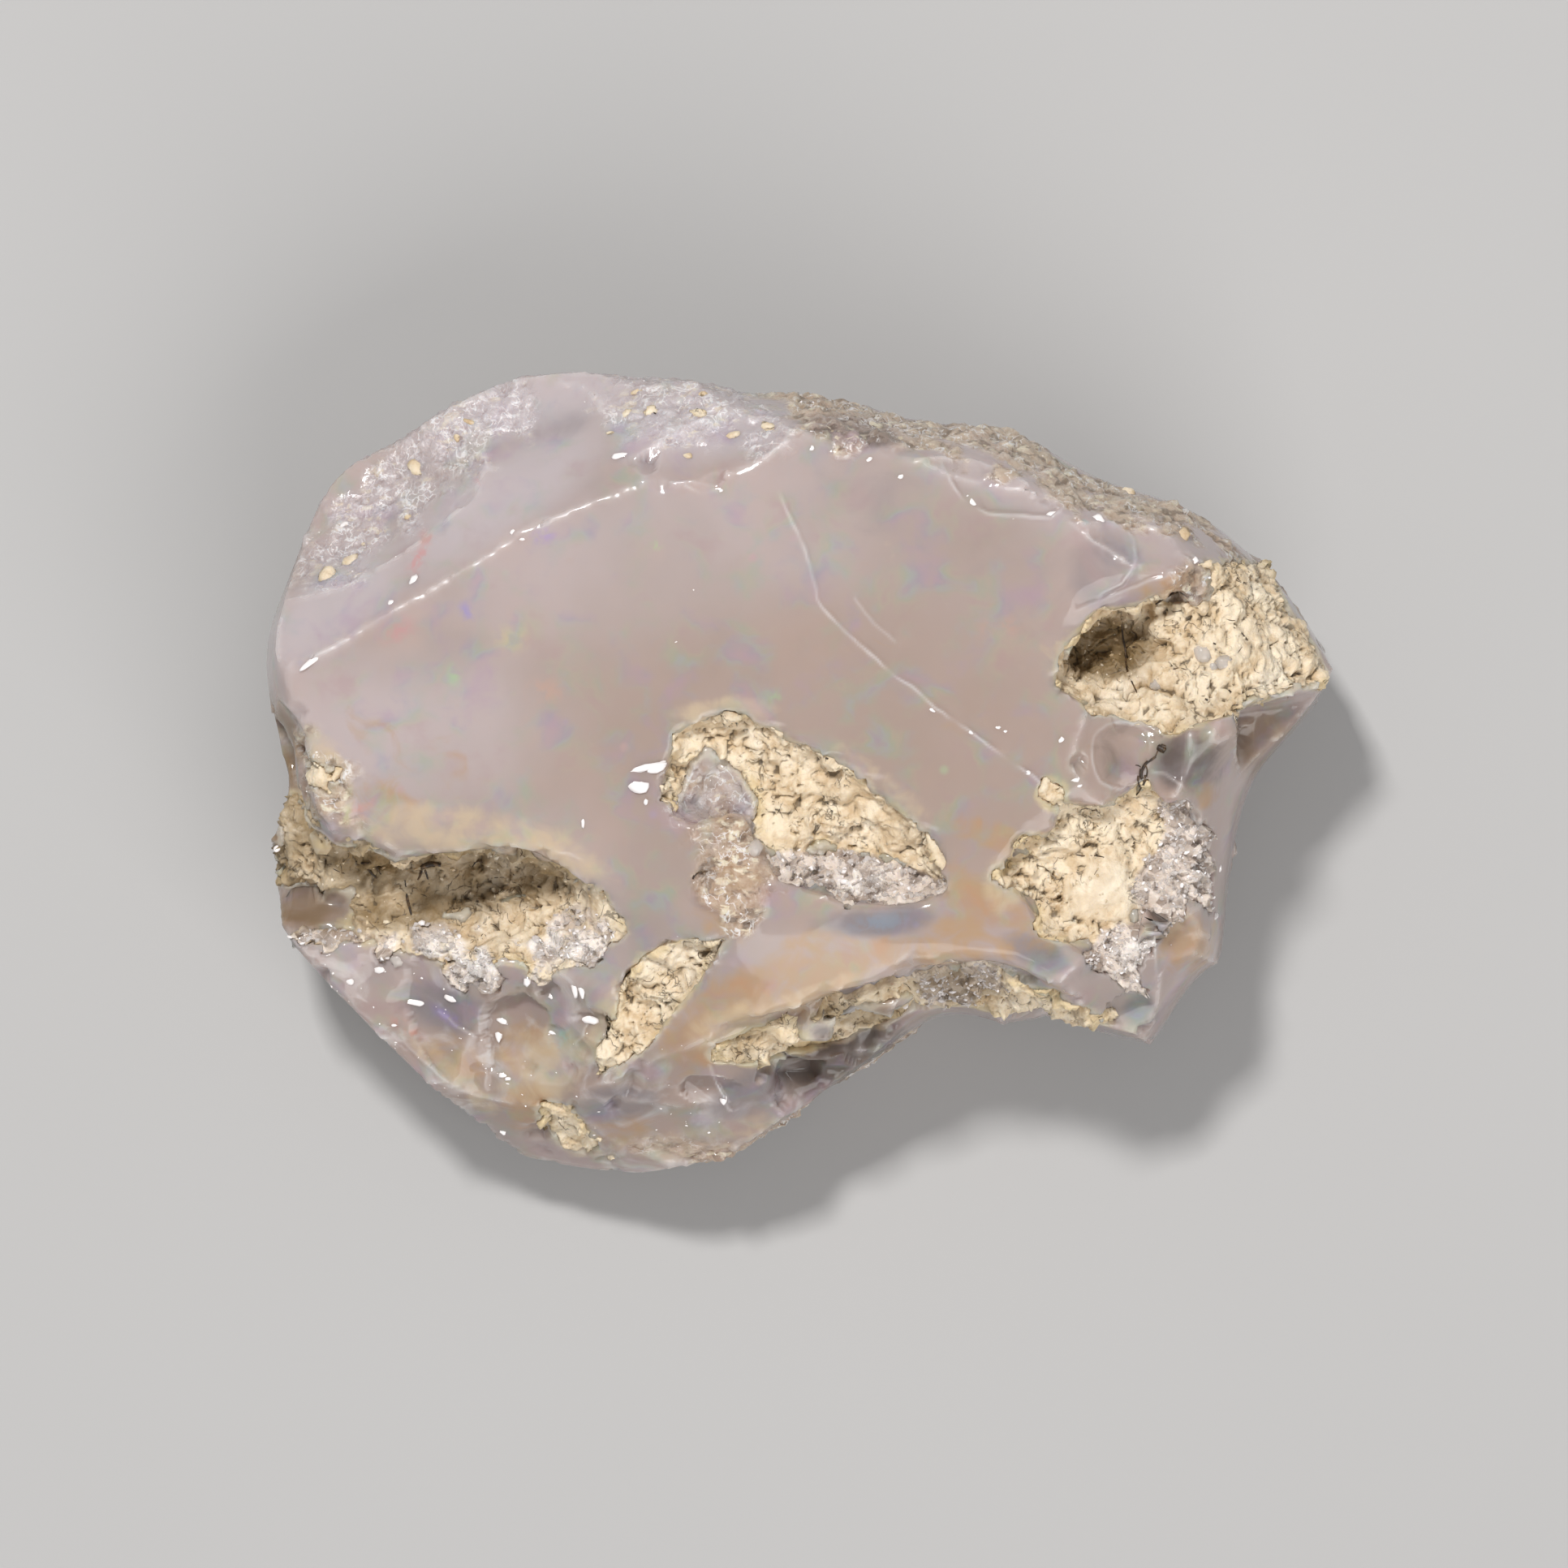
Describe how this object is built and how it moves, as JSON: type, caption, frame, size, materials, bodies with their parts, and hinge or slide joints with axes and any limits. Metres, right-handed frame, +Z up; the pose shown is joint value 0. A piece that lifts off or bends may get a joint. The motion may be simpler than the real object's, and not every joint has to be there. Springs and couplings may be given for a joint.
{
  "type": "rough opal",
  "caption": "Piece of rough milky opal with a broad glossy face, broken see-through edges and pits of pale host rock, lying on its flat back.",
  "frame": {"origin": "on the surface that the stone rests on, under the middle of its bounding box", "axes": "+X along the stone's length, towards the eastern tip with the rock-filled pit; +Z up, out of the glossy face, across the stone's thinnest way; +Y towards the edge with the long bevel"},
  "size_m": [0.027, 0.0204, 0.0098],
  "materials": {
    "opal": "gloss"
  },
  "bodies": {
    "root": {"rough_opal": "opal"}
  },
  "joints": []
}
